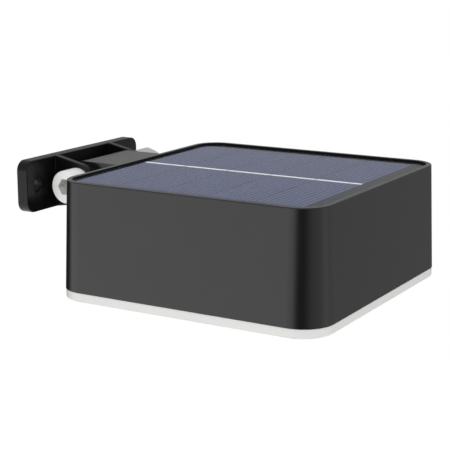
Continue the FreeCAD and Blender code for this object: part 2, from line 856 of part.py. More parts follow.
def button_collar():
    """Flanged collar through the diffuser; its bore guides the button."""
    barrel = rod_z(collar_diameter / 2, 0, lamp_y, collar_bottom, collar_top)
    flange = rod_z(collar_flange_diameter / 2, 0, lamp_y, collar_bottom, collar_flange_top)
    lower_edge = [edge for edge in flange.Edges if edge.BoundBox.ZMax < collar_bottom + 0.001]
    flange = flange.makeFillet(collar_flange_round, lower_edge)
    bore = rod_z(button_diameter / 2 + running_clearance, 0, lamp_y, collar_bottom, collar_shelf_z)
    chamber_radius = button_flange_diameter / 2 + collar_inner_clearance
    chamber = rod_z(chamber_radius, 0, lamp_y, collar_shelf_z, collar_top)
    return barrel.fuse(flange).cut([bore, chamber]).removeSplitter()


def collar_nut():
    """Flat hexagon nut that clamps the collar to the diffuser."""
    nut = hexagon_bar(collar_nut_flats, 0, 0, collar_nut_height, 0, 0)
    nut.rotate(Vector(0, 0, 0), Vector(0, 1, 0), -90)
    nut.translate(Vector(0, lamp_y, diffuser_top))
    bore = rod_z(collar_diameter / 2 + collar_nut_clearance, 0, lamp_y, diffuser_top, collar_top)
    return nut.cut(bore)


def collar_seal():
    """Flat ring under the collar's flange."""
    outer_radius = collar_flange_diameter / 2 - collar_flange_round
    inner_radius = collar_diameter / 2 + collar_nut_clearance
    outer = rod_z(outer_radius, 0, lamp_y, collar_flange_top, diffuser_bottom)
    return outer.cut(rod_z(inner_radius, 0, lamp_y, collar_flange_top, diffuser_bottom))


def button_spring():
    """Coil spring between the button's flange and the switch."""
    wire_radius = spring_wire_diameter / 2
    low = button_flange_top + spring_end_gap + wire_radius
    high = switch_bottom - spring_end_gap - wire_radius
    section_count = round(spring_turns * spring_sections_per_turn)
    sections = []
    for index in range(section_count + 1):
        share = index / section_count
        turn = 2 * math.pi * spring_turns * share
        outward = Vector(math.cos(turn), math.sin(turn), 0)
        middle = Vector(0, lamp_y, low + (high - low) * share) + outward * (spring_mean_diameter / 2)
        points = []
        for corner in range(spring_wire_sides):
            angle = 2 * math.pi * corner / spring_wire_sides
            upward = Vector(0, 0, wire_radius * math.sin(angle))
            points.append(middle + outward * (wire_radius * math.cos(angle)) + upward)
        sections.append(Part.makePolygon(points + [points[0]]))
    return Part.makeLoft(sections, True, True)


# ---------------------------------------------------------------- diffuser

def countersink(x, y, surface_z, extra):
    """Cone for a countersunk head, from the lower surface upward."""
    head_radius = boss_screw_head_diameter / 2 + extra
    shank_radius = boss_screw_diameter / 2 + extra
    return Part.makeCone(head_radius, shank_radius, head_radius - shank_radius,
                         Vector(x, y, surface_z), Vector(0, 0, 1))


def locating_rib(quarter):
    """Bar inside one housing wall that centres the diffuser."""
    outer = bottom_half - housing_wall - locating_rib_clearance
    half = locating_rib_length / 2
    rib = block(outer - locating_rib_thickness, outer, lamp_y - half, lamp_y + half,
                diffuser_top, diffuser_top + locating_rib_height)
    rib.rotate(Vector(0, lamp_y, 0), Vector(0, 0, 1), 90 * quarter)
    return rib


def diffuser():
    """Milky plate that closes the housing from below."""
    radius = bottom_radius - diffuser_inset
    plate = rounded_slab(bottom_half - diffuser_inset, radius, diffuser_bottom, diffuser_top)
    lower_edges = [edge for edge in plate.Edges if edge.BoundBox.ZMax < diffuser_bottom + 0.001]
    plate = plate.makeFillet(diffuser_edge_round, lower_edges)
    plate = plate.fuse([locating_rib(quarter) for quarter in range(4)])
    for x, y in boss_places():
        hole_radius = boss_screw_diameter / 2 + screw_hole_clearance
        plate = plate.cut(rod_z(hole_radius, x, y, diffuser_bottom, diffuser_top))
        plate = plate.cut(rod_z(boss_screw_head_diameter / 2 + screw_hole_clearance, x, y,
                                diffuser_bottom, diffuser_bottom + boss_screw_sink))
        plate = plate.cut(countersink(x, y, diffuser_bottom + boss_screw_sink, screw_hole_clearance))
    collar_hole = collar_diameter / 2 + collar_nut_clearance
    return plate.cut(rod_z(collar_hole, 0, lamp_y, diffuser_bottom, diffuser_top)).removeSplitter()


def diffuser_gasket():
    """Soft square ring between the housing's lip and the diffuser."""
    return gasket_space()


def diffuser_screws():
    """Four countersunk screws up through the diffuser into the corner bosses."""
    screws = []
    for x, y in boss_places():
        surface = diffuser_bottom + boss_screw_sink
        shank = rod_z(boss_screw_diameter / 2, x, y, surface, diffuser_top + boss_screw_bite)
        recess = cross_recess(x, y, surface, boss_recess_width, boss_recess_depth)
        screws.append(countersink(x, y, surface, 0).fuse(shank).cut(recess).removeSplitter())
    return Part.makeCompound(screws)


# ---------------------------------------------------------------- one file per node

nodes = [
    wall_bracket, tilt_bolt, tilt_nut, nut_washer, friction_washers,
    housing, tilt_bushing,
    panel_cover, cell_ribbons, solar_cells, panel_board, panel_adhesive,
    lead_grommet, panel_leads,
    battery_cell, battery_cradle, battery_contacts, battery_leads, cradle_screws,
    control_board, charge_chips, storage_capacitor, choke_coil, board_screws, led_leads,
    light_tray, led_board, led_chips, tray_screws,
    switch_body, button_spring, button_collar, collar_nut, collar_seal,
    diffuser, diffuser_gasket, diffuser_screws,
    push_button,
]

os.makedirs("parts", exist_ok=True)
for node in nodes:
    node().exportStep("parts/" + node.__name__ + ".step")
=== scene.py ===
# %% [markdown]
# # A fence light, dressed step by step
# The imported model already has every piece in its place, in metres. X runs along the wall, +Y points
# into the wall and +Z is up. This script gives each piece its finish, adds the details that are too
# small for the model, and sets up the camera and the lights.

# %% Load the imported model
import bpy
import bmesh
import json
import math
from mathutils import Matrix, Vector


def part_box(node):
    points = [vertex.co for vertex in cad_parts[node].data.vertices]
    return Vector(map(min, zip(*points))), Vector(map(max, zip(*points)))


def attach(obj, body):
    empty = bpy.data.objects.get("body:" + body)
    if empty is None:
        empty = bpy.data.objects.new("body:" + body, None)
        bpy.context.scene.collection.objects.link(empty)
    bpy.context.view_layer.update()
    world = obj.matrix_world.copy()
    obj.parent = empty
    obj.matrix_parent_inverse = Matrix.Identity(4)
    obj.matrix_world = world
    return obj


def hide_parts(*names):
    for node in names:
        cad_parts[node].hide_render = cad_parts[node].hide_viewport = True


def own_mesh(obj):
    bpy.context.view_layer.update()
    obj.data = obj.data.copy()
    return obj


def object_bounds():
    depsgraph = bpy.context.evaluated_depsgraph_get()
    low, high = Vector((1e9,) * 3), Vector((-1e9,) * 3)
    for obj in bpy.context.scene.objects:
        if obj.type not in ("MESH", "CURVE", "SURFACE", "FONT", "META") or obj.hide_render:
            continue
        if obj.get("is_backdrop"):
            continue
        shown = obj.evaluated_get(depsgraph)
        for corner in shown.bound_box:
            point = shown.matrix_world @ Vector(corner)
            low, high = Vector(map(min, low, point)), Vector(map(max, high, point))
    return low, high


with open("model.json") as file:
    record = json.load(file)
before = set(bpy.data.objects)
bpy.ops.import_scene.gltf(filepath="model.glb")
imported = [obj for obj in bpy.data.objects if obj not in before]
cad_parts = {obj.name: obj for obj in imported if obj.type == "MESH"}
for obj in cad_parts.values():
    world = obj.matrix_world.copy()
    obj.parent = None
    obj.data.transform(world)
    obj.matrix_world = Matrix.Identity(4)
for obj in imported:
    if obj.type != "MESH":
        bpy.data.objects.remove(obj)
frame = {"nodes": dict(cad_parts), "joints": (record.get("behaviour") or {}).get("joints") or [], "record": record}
cad_box = [list(corner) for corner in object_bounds()]
collection = bpy.context.scene.collection

# %% [markdown]
# ## Camera
# The camera stands to the front left of the lamp and a little above it. Turn and height are given as
# angles, because they are easy to compare with a photograph: the turn is measured from straight in
# front, and the height is the angle above the horizon.

# %% Camera
camera_turn = math.radians(-59.366)
camera_height = math.radians(12.669)
camera_roll = math.radians(-0.148)
camera_place = Vector((-0.42235, -0.32193, 0.09624))
frame_width_px = 450
focal_length_px = 1294.86

camera = bpy.data.objects.new("camera", bpy.data.cameras.new("camera"))
collection.objects.link(camera)
camera.data.sensor_width = 36.0
camera.data.lens = focal_length_px * camera.data.sensor_width / frame_width_px
camera.data.clip_start = 0.01
camera.rotation_mode = "QUATERNION"
turn = Matrix.Rotation(camera_turn, 3, "Z")
tilt = Matrix.Rotation(math.pi / 2 - camera_height, 3, "X")
roll = Matrix.Rotation(camera_roll, 3, "Z")
camera.rotation_quaternion = (turn @ tilt @ roll).to_quaternion()
camera.location = camera_place
bpy.context.scene.camera = camera
bpy.context.scene.view_settings.view_transform = "Standard"
print("lens:", round(camera.data.lens, 2), "mm")

# %% [markdown]
# ## Colours and nodes
# A paint chart gives colours as sRGB hex values, but a shader works on linear light, so one function
# turns the first into the second. Every shader tree below is a few nodes long, and one more function
# adds a node together with its settings and its links, which keeps each tree readable.

# %% Colour and node helpers
def linear(hex_colour):
    """The linear colour of an sRGB hex value such as #4b4b4b."""
    channels = []
    for start in (1, 3, 5):
        value = int(hex_colour[start:start + 2], 16) / 255
        channels.append(value / 12.92 if value <= 0.04045 else ((value + 0.055) / 1.055) ** 2.4)
    return (*channels, 1.0)


def add_node(tree, kind, inputs=None, **settings):
    """Add a node; an input that is given a socket is linked to it, any other value is set."""
    node = tree.nodes.new(kind)
    for name, value in settings.items():
        setattr(node, name, value)
    for name, value in (inputs or {}).items():
        if isinstance(value, bpy.types.NodeSocket):
            tree.links.new(value, node.inputs[name])
        else:
            node.inputs[name].default_value = value
    return node


print("mid grey is", round(linear("#808080")[0], 3), "in linear light")

# %% [markdown]
# ## Studio
# Shiny dark paint looks the way it does because of what it mirrors: here a bright window on the left,
# a weaker one on the right and a dim room between them, under an even ceiling. So the world shows
# shiny surfaces a tone for each direction, shows the camera and clear materials plain white, and
# lights matt surfaces evenly. The white is mixed in last, because a ray through slightly rough resin
# counts as a glossy one too. The tones were set for one view, so from other sides the paint
# may look blacker or greyer. The world isn't sampled as a lamp, because a lamp has one brightness for
# every kind of ray.

# %% World
window_level = 1.0
plain_level = 0.72
ceiling_level = 0.37
horizon_blur = 0.08
room_tones = [
    (-180, 0.44),
    (-172, 0.12),
    (-163, 0.02),
    (-150, 0.02),
    (-138, 0.12),
    (-122, 0.33),
    (-105, 0.41),
    (-85, 0.48),
    (-72, 0.62),
    (-60, 0.58),
    (-50, 0.42),
    (-42, 0.37),
    (-30, 0.33),
    (0, 0.12),
    (30, 0.03),
    (90, 0.03),
    (115, 1.00),
    (145, 1.10),
    (160, 0.99),
    (171, 0.80),
    (180, 0.44),
]
world = bpy.data.worlds.new("studio")
bpy.context.scene.world = world
world.use_nodes = True
world.cycles.sampling_method = "NONE"
tree = world.node_tree
direction = add_node(tree, "ShaderNodeTexCoord").outputs["Generated"]
parts = add_node(tree, "ShaderNodeSeparateXYZ", {0: direction})
turn_angle = add_node(tree, "ShaderNodeMath", {0: parts.outputs["Y"], 1: parts.outputs["X"]},
                      operation="ARCTAN2")
around = add_node(tree, "ShaderNodeMapRange", {"Value": turn_angle.outputs[0], "From Min": -math.pi,
                                               "From Max": math.pi})
ramp = add_node(tree, "ShaderNodeValToRGB", {"Fac": around.outputs[0]})
for index, (degrees, level) in enumerate(room_tones):
    place = (degrees + 180) / 360
    if index in (0, len(room_tones) - 1):
        stop = ramp.color_ramp.elements[0 if index == 0 else -1]
        stop.position = place
    else:
        stop = ramp.color_ramp.elements.new(place)
    stop.color = (level, level, level, 1)
rays = add_node(tree, "ShaderNodeLightPath").outputs
seen = add_node(tree, "ShaderNodeMath", {0: rays["Is Camera Ray"], 1: rays["Is Transmission Ray"]},
                operation="MAXIMUM")
height = add_node(tree, "ShaderNodeMapRange", {"Value": parts.outputs["Z"], "From Min": -horizon_blur,
                                               "From Max": horizon_blur}, interpolation_type="SMOOTHSTEP")
room = add_node(tree, "ShaderNodeMix", {0: height.outputs[0], 2: ramp.outputs["Color"], 3: ceiling_level})
mirrored = add_node(tree, "ShaderNodeMix", {0: rays["Is Glossy Ray"], 2: plain_level, 3: room.outputs[0]})
shown = add_node(tree, "ShaderNodeMix", {0: seen.outputs[0], 2: mirrored.outputs[0], 3: window_level})
background = tree.nodes["Background"]
tree.links.new(shown.outputs[0], background.inputs["Color"])
print("tones round the room:", len(room_tones))

# %% [markdown]
# ## Floor and lamps
# The lamp hangs on a wall, so the floor lies well below it and its shadow falls out of the picture.
# The floor is pale paint; a little light of its own, for the camera and for shiny and clear surfaces,
# lifts it to the white of the backdrop and leaves the shadow on it. Two large soft lamps shape the
# matt pieces, and shiny ones don't mirror them, because the world already shows the windows.

# %% Floor and lamps
floor_height = -0.65
floor_reach = 1.2
floor_glow = 0.35
floor_mesh = bmesh.new()
bmesh.ops.create_grid(floor_mesh, x_segments=1, y_segments=1, size=floor_reach,
                      matrix=Matrix.Translation((0, 0, floor_height)))
floor = bpy.data.objects.new("floor", bpy.data.meshes.new("floor"))
floor_mesh.to_mesh(floor.data)
floor_mesh.free()
collection.objects.link(floor)
floor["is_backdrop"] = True

floor_paint = bpy.data.materials.new("matt_floor_paint")
floor_paint.use_nodes = True
tree = floor_paint.node_tree
paint = tree.nodes["Principled BSDF"]
paint.inputs["Base Color"].default_value = linear("#f2f2f2")
paint.inputs["Roughness"].default_value = 0.9
rays = add_node(tree, "ShaderNodeLightPath").outputs
seen = add_node(tree, "ShaderNodeMath", {0: rays["Is Camera Ray"], 1: rays["Is Transmission Ray"]},
                operation="MAXIMUM")
shown = add_node(tree, "ShaderNodeMath", {0: seen.outputs[0], 1: rays["Is Glossy Ray"]}, operation="MAXIMUM")
strength = add_node(tree, "ShaderNodeMath", {0: shown.outputs[0], 1: floor_glow}, operation="MULTIPLY")
glow = add_node(tree, "ShaderNodeEmission", {"Strength": strength.outputs[0]})
both = add_node(tree, "ShaderNodeAddShader", {0: paint.outputs[0], 1: glow.outputs[0]})
tree.links.new(both.outputs[0], tree.nodes["Material Output"].inputs["Surface"])
floor.data.materials.append(floor_paint)

lamp_middle = sum(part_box("housing"), Vector()) / 2


def add_soft_lamp(name, place, size, level):
    """A square lamp that faces the object; level is the share of plain light that it adds."""
    light = bpy.data.lights.new(name, "AREA")
    light.size = size
    reach = Vector(place) - lamp_middle
    light.energy = level * math.pi ** 2 * reach.length_squared
    lamp = bpy.data.objects.new(name, light)
    lamp.location = place
    lamp.rotation_mode = "QUATERNION"
    lamp.rotation_quaternion = reach.to_track_quat("Z", "Y")
    lamp.visible_glossy = False
    collection.objects.link(lamp)
    print(name, "power:", round(light.energy, 2), "W")


add_soft_lamp("window_lamp", place=(-1.3, -0.5, 1.2), size=1.2, level=0.33)
add_soft_lamp("fill_lamp", place=(1.2, -1.3, 0.8), size=1.2, level=0.15)
print("floor at", floor_height, "m")

# %% [markdown]
# ## Finishes and their patterns
# A finish starts as one Principled shader with the colour, roughness and metallic value of the real
# material. Four small functions then add what keeps it from looking flat: grain you could feel,
# clouds of a second colour, clouds in the gloss, and the fine rings that a lathe leaves. Their sizes
# are real ones in millimetres, read from Object coordinates, so they stay put when a piece moves.

# %% Finish helpers
def new_finish(name, colour, roughness, metallic=0.0, sockets=None):
    """A material with one Principled shader."""
    material = bpy.data.materials.new(name)
    material.use_nodes = True
    shader = material.node_tree.nodes["Principled BSDF"]
    shader.inputs["Base Color"].default_value = linear(colour)
    shader.inputs["Roughness"].default_value = roughness
    shader.inputs["Metallic"].default_value = metallic
    for socket, value in (sockets or {}).items():
        shader.inputs[socket].default_value = value
    return material


noise_detail = 2.0
noise_low = 0.3                     # a noise value seldom leaves the range between these two
noise_high = 0.7


def clouds(material, size_mm, stretch=(1, 1, 1)):
    """A noise value between 0 and 1 with clouds about size_mm wide."""
    tree = material.node_tree
    place = add_node(tree, "ShaderNodeTexCoord").outputs["Object"]
    place = add_node(tree, "ShaderNodeMapping", {"Vector": place, "Scale": stretch}).outputs[0]
    noise = add_node(tree, "ShaderNodeTexNoise", {"Vector": place, "Scale": 1000 / size_mm,
                                                  "Detail": noise_detail})
    return noise.outputs[0]


def connect(material, socket, source):
    """Link a value or colour to an input of the material's Principled shader."""
    tree = material.node_tree
    tree.links.new(source, tree.nodes["Principled BSDF"].inputs[socket])


def raise_surface(material, height, depth_mm):
    """Bump the surface by a height between 0 and 1."""
    bump = add_node(material.node_tree, "ShaderNodeBump", {"Height": height, "Distance": depth_mm / 1000})
    connect(material, "Normal", bump.outputs[0])


def add_grain(material, size_mm, depth_mm, stretch=(1, 1, 1)):
    """Fine bumps, as on a moulded or coated surface."""
    raise_surface(material, clouds(material, size_mm, stretch), depth_mm)


def mix_colours(material, share, first, second):
    """A colour between two hex colours."""
    mix = add_node(material.node_tree, "ShaderNodeMix", {0: share, 6: linear(first), 7: linear(second)},
                   data_type="RGBA")
    return mix.outputs[2]


def add_clouded_colour(material, first, second, size_mm):
    """Soft clouds between two close colours."""
    connect(material, "Base Color", mix_colours(material, clouds(material, size_mm), first, second))


def add_clouded_gloss(material, low, high, size_mm, stretch=(1, 1, 1)):
    """Soft clouds between two roughness values."""
    tree = material.node_tree
    share = clouds(material, size_mm, stretch)
    gloss = add_node(tree, "ShaderNodeMapRange", {"Value": share, "From Min": noise_low,
                                                  "From Max": noise_high, "To Min": low, "To Max": high})
    connect(material, "Roughness", gloss.outputs[0])


def place_about(material, centre, axis):
    """The distance from an axis, and the place along it, in metres."""
    tree = material.node_tree
    place = add_node(tree, "ShaderNodeTexCoord").outputs["Object"]
    place = add_node(tree, "ShaderNodeVectorMath", {0: place, 1: centre}, operation="SUBTRACT").outputs[0]
    across = [1, 1, 1]
    across["XYZ".index(axis)] = 0
    flat = add_node(tree, "ShaderNodeVectorMath", {0: place, 1: across}, operation="MULTIPLY").outputs[0]
    radius = add_node(tree, "ShaderNodeVectorMath", {0: flat}, operation="LENGTH").outputs["Value"]
    return radius, add_node(tree, "ShaderNodeSeparateXYZ", {0: place}).outputs[axis]


def add_turning_rings(material, centre, axis, pitch_mm, depth_mm):
    """Rings about an axis, on the end faces and along the sides, as a lathe leaves them."""
    tree = material.node_tree
    radius, along = place_about(material, centre, axis)
    total = add_node(tree, "ShaderNodeMath", {0: radius, 1: along}, operation="ADD").outputs[0]
    phase = add_node(tree, "ShaderNodeMath", {0: total, 1: 2 * math.pi * 1000 / pitch_mm},
                     operation="MULTIPLY").outputs[0]
    wave = add_node(tree, "ShaderNodeMath", {0: phase}, operation="SINE").outputs[0]
    raise_surface(material, wave, depth_mm)


def dress(node, material):
    """Give a CAD node a finish."""
    piece = frame["nodes"][node]
    for material_slot in piece.material_slots:
        material_slot.material = material


print("finish helpers ready")

# %% [markdown]
# ## Pieces with rounded edges
# No cast, turned or moulded edge is perfectly sharp: it has a tiny radius that catches the light. The
# model's own edges are sharp, so the pieces in plain view are copied, their loose triangles merged
# into whole faces, and their edges rounded with a Bevel modifier, which is then applied.

# %% Rounded copies
merge_reach = 1e-6
flat_angle = math.radians(0.5)      # faces that meet flatter than this are one
sharp_angle = math.radians(35)      # edges sharper than this get a radius
round_steps = 3


def whole_faces(node):
    """A mesh of a CAD node with its triangles merged into whole faces."""
    mesh = bmesh.new()
    mesh.from_mesh(frame["nodes"][node].data)
    bmesh.ops.remove_doubles(mesh, verts=mesh.verts, dist=merge_reach)
    bmesh.ops.dissolve_limit(mesh, angle_limit=flat_angle, verts=mesh.verts, edges=mesh.edges)
    for face in mesh.faces:
        face.smooth = True
    return mesh


def add_piece(name, mesh, material, body):
    """Turn a bmesh into a piece that moves with a body."""
    piece = bpy.data.objects.new(name, bpy.data.meshes.new(name))
    mesh.to_mesh(piece.data)
    mesh.free()
    if piece.data.has_custom_normals:
        piece.data.attributes.remove(piece.data.attributes["custom_normal"])
    collection.objects.link(piece)
    piece.data.materials.append(material)
    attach(piece, body)
    return piece


def keep_result(piece):
    """Replace a piece's mesh by what its modifiers make of it, and remove them."""
    state = bpy.context.evaluated_depsgraph_get()
    plain = bpy.data.meshes.new_from_object(piece.evaluated_get(state), preserve_all_data_layers=True,
                                            depsgraph=state)
    piece.modifiers.clear()
    piece.data = plain
    return len(plain.polygons)


def body_of_node(node):
    """The body that a CAD node moves with."""
    bodies = frame["record"]["behaviour"]["bodies"]
    return next(body for body, names in bodies.items() if node in names)


def rounded_copy(node, radius_mm, material):
    """A copy of a CAD node with rounded edges, which stands for it."""
    piece = add_piece(node + "_rounded", whole_faces(node), material, body_of_node(node))
    bevel = piece.modifiers.new("round", "BEVEL")
    bevel.width = radius_mm / 1000
    bevel.segments = round_steps
    bevel.limit_method = "ANGLE"
    bevel.angle_limit = sharp_angle
    bevel.harden_normals = True
    faces = keep_result(piece)
    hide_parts(node)
    print(piece.name, "faces:", faces)


# %% [markdown]
# ## Coated castings
# The housing and the wall bracket are die-cast aluminium under a satin black powder coat. The coat
# itself is nearly black, and its smooth top mirrors the room, so a side looks as light or as dark as
# what lies opposite it. Slow clouds in the gloss and a very shallow orange peel are what the eye sees
# on a baked coat. The bracket is darker and mirrors less, so its coat is a finer, duller texture.

# %% Coated castings
powder_coat = new_finish("satin_black_powder_coat", "#161617", 0.19, sockets={"IOR": 1.64})
add_clouded_gloss(powder_coat, 0.17, 0.21, size_mm=14)
add_grain(powder_coat, size_mm=1.6, depth_mm=0.0008)
dress("housing", powder_coat)
matt_coat = new_finish("fine_textured_black_powder_coat", "#0b0b0c", 0.3, sockets={"IOR": 1.42})
add_clouded_gloss(matt_coat, 0.27, 0.34, size_mm=9)
add_grain(matt_coat, size_mm=0.8, depth_mm=0.0015)
rounded_copy("wall_bracket", 0.35, matt_coat)

# %% [markdown]
# ## Bolt, nut and washer
# These are turned and cold-formed stainless steel: bright, with fine rings from the lathe. Real rings
# are about 0.1 mm apart and too fine to show, so they are drawn 0.5 mm apart. The bolt's socket is
# punched, not turned; inside it the steel is painted a darker grey, as painted shade for the recess.
# The nut keeps drawing lines along its flats. Steel is fully metallic. Here bolt and nut have lower
# metallic values, set by trial to match the photograph.

# %% Stainless steel fasteners
tilt_axis = Vector(frame["joints"][0]["pos_m"])
socket_reach = 0.0036
socket_depth = 0.0001
step_blur = 0.0001
bolt_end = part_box("tilt_bolt")[0].x
turned_steel = new_finish("turned_stainless_steel", "#fdfdfc", 0.4, metallic=0.25)
from_axis, along_bolt = place_about(turned_steel, tilt_axis, "X")
inward = add_node(turned_steel.node_tree, "ShaderNodeMapRange", {
    "Value": from_axis, "From Min": socket_reach, "From Max": socket_reach - step_blur}).outputs[0]
deep = add_node(turned_steel.node_tree, "ShaderNodeMapRange", {
    "Value": along_bolt, "From Min": bolt_end + socket_depth,
    "From Max": bolt_end + socket_depth + step_blur}).outputs[0]
# Inside the socket the colour turns a darker grey: painted shade for the recess.
socket_painted_shade = add_node(turned_steel.node_tree, "ShaderNodeMath", {0: inward, 1: deep},
                     operation="MULTIPLY").outputs[0]
connect(turned_steel, "Base Color", mix_colours(turned_steel, socket_painted_shade, "#fdfdfc", "#dad9d7"))
add_clouded_gloss(turned_steel, 0.34, 0.44, size_mm=2)
add_turning_rings(turned_steel, tilt_axis, "X", pitch_mm=0.5, depth_mm=0.0008)
rounded_copy("tilt_bolt", 0.15, turned_steel)

drawn_steel = new_finish("drawn_stainless_steel", "#efefed", 0.42, metallic=0.75)
add_clouded_gloss(drawn_steel, 0.36, 0.48, size_mm=1.2, stretch=(0.1, 1, 1))
add_grain(drawn_steel, size_mm=0.6, depth_mm=0.003, stretch=(0.05, 1, 1))
rounded_copy("tilt_nut", 0.2, drawn_steel)

stamped_steel = new_finish("stamped_stainless_steel", "#bdbcb9", 0.36, metallic=1.0)
add_grain(stamped_steel, size_mm=0.8, depth_mm=0.004)
rounded_copy("nut_washer", 0.15, stamped_steel)

# %% [markdown]
# ## Solar panel
# Five strips of silicon lie on a black laminate board under a clear cast resin layer. A dark blue
# antireflection layer colours the silicon, and each strip carries a tinned ribbon across its middle,
# near-white: partly the tin's own pale colour, partly a painted glint. The resin mirrors the sky at a
# low angle, which greys the blue. The imported cover has a pocket for each strip. Its copy here is a
# plain slab that reaches a hair into the board and encloses cells and ribbons, so light meets only one surface on
# its way in, and it casts no shadow on what it holds.
# Cells and board get no gloss of their own, since the resin has it, and the resin's IOR is set below
# epoxy's 1.5. Both were matched to the photograph's tone.

# %% Solar panel
silicon = new_finish("silicon_with_blue_antireflection_layer", "#404869", 0.32,
                     sockets={"Specular IOR Level": 0.0})
add_clouded_colour(silicon, "#3a4363", "#464e70", size_mm=12)
dress("solar_cells", silicon)

# Near-white and matt: partly the tin's own pale colour, partly a painted glint.
tinned_copper = new_finish("tinned_copper_ribbon", "#fdfdfc", 0.4)
add_grain(tinned_copper, size_mm=0.7, depth_mm=0.01)
dress("cell_ribbons", tinned_copper)

black_laminate = new_finish("black_epoxy_laminate", "#24282f", 0.4, sockets={"Specular IOR Level": 0.0})
add_grain(black_laminate, size_mm=0.9, depth_mm=0.004)
dress("panel_board", black_laminate)

cast_resin = new_finish("clear_cast_epoxy_resin", "#fbfcff", 0.1,
                        sockets={"Transmission Weight": 1.0, "IOR": 1.22})
add_clouded_gloss(cast_resin, 0.08, 0.13, size_mm=25)
ribbon_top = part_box("cell_ribbons")[1].z
board_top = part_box("panel_board")[1].z
cover_sink = 0.00001
cover_edge_radius = 0.00015
cover_edge_steps = 2
cover_mesh = whole_faces("panel_cover")
for vertex in cover_mesh.verts:
    if vertex.co.z < ribbon_top + cover_sink:
        vertex.co.z = board_top - cover_sink
bmesh.ops.remove_doubles(cover_mesh, verts=cover_mesh.verts, dist=merge_reach)
flat_bottom = [face for face in cover_mesh.faces if face.calc_center_median().z < board_top]
bmesh.ops.delete(cover_mesh, geom=flat_bottom, context="FACES")
open_edges = [edge for edge in cover_mesh.edges if edge.is_boundary]
bmesh.ops.edgeloop_fill(cover_mesh, edges=open_edges)
bmesh.ops.recalc_face_normals(cover_mesh, faces=cover_mesh.faces)
cover = add_piece("resin_cover", cover_mesh, cast_resin, "lamp")
bevel = cover.modifiers.new("round", "BEVEL")
bevel.width = cover_edge_radius
bevel.segments = cover_edge_steps
bevel.limit_method = "ANGLE"
bevel.harden_normals = True
print("resin cover faces:", keep_result(cover))
cover.visible_shadow = False
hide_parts("panel_cover")

# %% [markdown]
# ## What repeats: Geometry Nodes
# Fingers on the cells, light domes, chip legs and solder joints are one small shape set out in a grid,
# and a coil's wire or a screw thread is one section swept along a helix. Geometry Nodes do both. Each
# tree names its sizes as inputs, realizes its instances and sets the finish at its end, and its
# result is kept as a plain mesh.

# %% Running a tree
def new_tree(name, inputs):
    """A Geometry Nodes tree with named inputs and one geometry output."""
    tree = bpy.data.node_groups.new(name, "GeometryNodeTree")
    for label, kind in inputs.items():
        tree.interface.new_socket(label, in_out="INPUT", socket_type=kind)
    tree.interface.new_socket("Geometry", in_out="OUTPUT", socket_type="NodeSocketGeometry")
    return tree


def end_tree(tree, geometry, material):
    """Realize, set the finish and hand the geometry out."""
    real = add_node(tree, "GeometryNodeRealizeInstances", {0: geometry}).outputs[0]
    painted = add_node(tree, "GeometryNodeSetMaterial", {"Geometry": real, "Material": material}).outputs[0]
    add_node(tree, "NodeGroupOutput", {0: painted})


def grow(name, tree, values, body):
    """Run a tree with these values and keep its result as a plain piece."""
    piece = bpy.data.objects.new(name, bpy.data.meshes.new(name))
    collection.objects.link(piece)
    modifier = piece.modifiers.new("grow", "NODES")
    modifier.node_group = tree
    for item in tree.interface.items_tree:
        if item.in_out == "INPUT":
            modifier[item.identifier] = values[item.name]
    faces = keep_result(piece)
    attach(piece, body)
    print(name, "faces:", faces)
    return piece


# %% [markdown]
# ## A shape set out in a grid
# The points of a flat grid carry one copy of the shape each. Points nearer the middle than a given
# reach are left out, which leaves room for something that stands there.

# %% Tree: a shape set out in a grid
grid_tree = new_tree("set_out_in_grid", {
    "Shape": "NodeSocketObject", "Columns": "NodeSocketInt", "Rows": "NodeSocketInt",
    "Width": "NodeSocketFloat", "Depth": "NodeSocketFloat", "Left Out": "NodeSocketFloat",
    "Centre": "NodeSocketVector", "Finish": "NodeSocketMaterial"})
sizes = add_node(grid_tree, "NodeGroupInput").outputs
points = add_node(grid_tree, "GeometryNodeMeshGrid", {"Size X": sizes["Width"], "Size Y": sizes["Depth"],
                  "Vertices X": sizes["Columns"], "Vertices Y": sizes["Rows"]}).outputs["Mesh"]
place = add_node(grid_tree, "GeometryNodeInputPosition").outputs[0]
away = add_node(grid_tree, "ShaderNodeVectorMath", {0: place}, operation="ABSOLUTE").outputs[0]
away = add_node(grid_tree, "ShaderNodeSeparateXYZ", {0: away})
reach = add_node(grid_tree, "ShaderNodeMath", {0: away.outputs[0], 1: away.outputs[1]}, operation="MAXIMUM")
kept = add_node(grid_tree, "FunctionNodeCompare", {0: reach.outputs[0], 1: sizes["Left Out"]},
                operation="GREATER_EQUAL").outputs[0]
points = add_node(grid_tree, "GeometryNodeSeparateGeometry", {
    "Geometry": points, "Selection": kept}).outputs[0]
points = add_node(grid_tree, "GeometryNodeTransform", {
    "Geometry": points, "Translation": sizes["Centre"]}).outputs[0]
shape = add_node(grid_tree, "GeometryNodeObjectInfo", {"Object": sizes["Shape"]}).outputs["Geometry"]
copies = add_node(grid_tree, "GeometryNodeInstanceOnPoints", {"Points": points, "Instance": shape}).outputs[0]
end_tree(grid_tree, copies, sizes["Finish"])
print("grid tree nodes:", len(grid_tree.nodes))


def set_out(name, shape_mesh, columns, rows, width, depth, centre, material, body, left_out=0.0):
    """Copies of a small shape, in a grid about a centre."""
    shape = bpy.data.objects.new("shape", bpy.data.meshes.new("shape"))
    shape_mesh.to_mesh(shape.data)
    shape_mesh.free()
    collection.objects.link(shape)
    piece = grow(name, grid_tree, {"Shape": shape, "Columns": columns, "Rows": rows, "Width": width,
                                   "Depth": depth, "Left Out": left_out, "Centre": centre,
                                   "Finish": material}, body)
    bpy.data.objects.remove(shape)
    return piece


# %% [markdown]
# ## A section swept along a helix
# A spiral curve whose start and end radius are the same is a helix. A small circle swept along it is
# a wire with closed ends, which can then be leaned over and moved into place.

